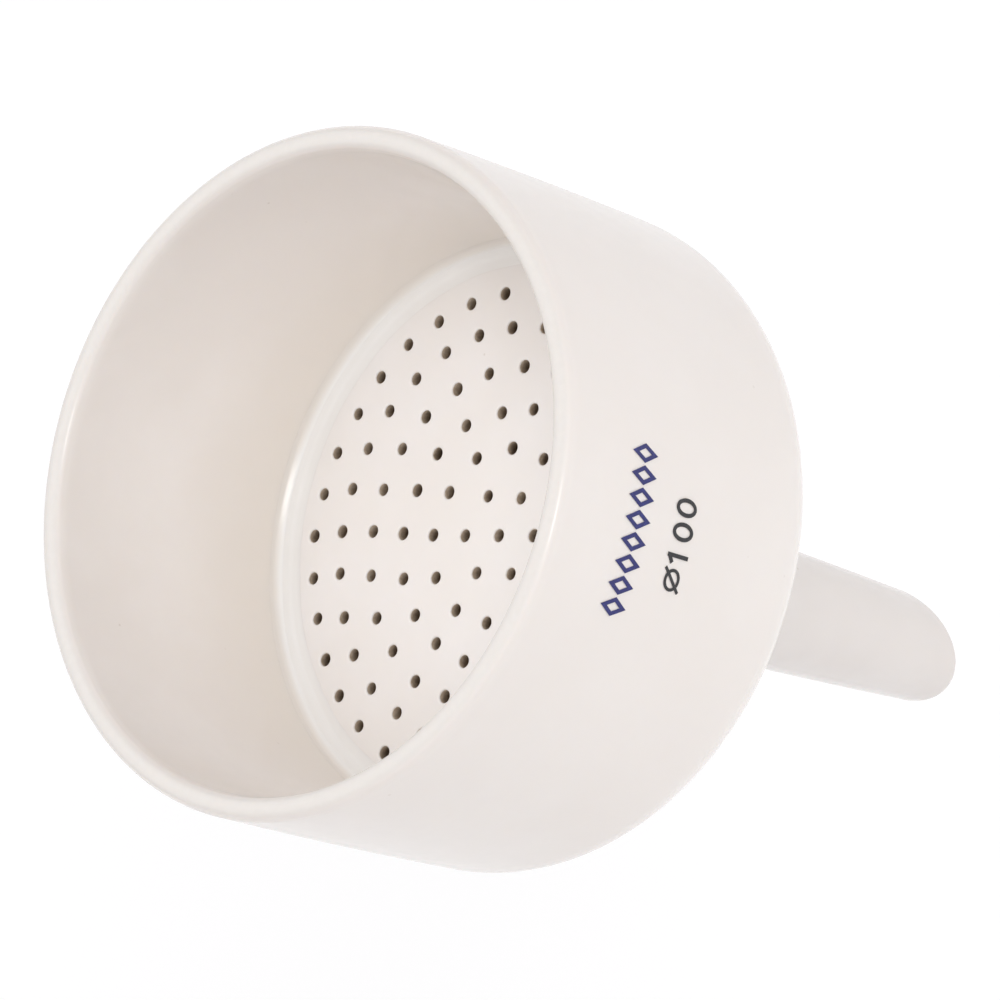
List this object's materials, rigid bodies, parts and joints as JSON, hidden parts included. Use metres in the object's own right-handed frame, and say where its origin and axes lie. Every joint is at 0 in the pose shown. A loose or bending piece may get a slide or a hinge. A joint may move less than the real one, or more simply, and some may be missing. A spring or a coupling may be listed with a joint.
{
  "type": "buchner funnel",
  "caption": "Glazed porcelain filter funnel: straight-sided bowl, fixed perforated plate, conical underside and tapered stem with a slanted tip.",
  "frame": {"origin": "on the funnel's axis, in the middle of the stem's parallel grip, where a bung or adapter holds it", "axes": "+Z along the axis towards the rim, -Y towards the printed marks, so +X is to the right when facing the marks"},
  "size_m": [0.1076, 0.1076, 0.1506],
  "materials": {
    "glazed_porcelain": "gloss",
    "luting_slip": "gloss",
    "blue_print": "gloss",
    "black_print": "gloss"
  },
  "bodies": {
    "root": {"bowl": "glazed_porcelain", "filter_plate": "glazed_porcelain", "plate_luting": "luting_slip", "shelf_luting": "luting_slip", "stem": "glazed_porcelain", "stem_luting": "luting_slip", "blue_band": "blue_print", "size_mark": "black_print"}
  },
  "joints": []
}
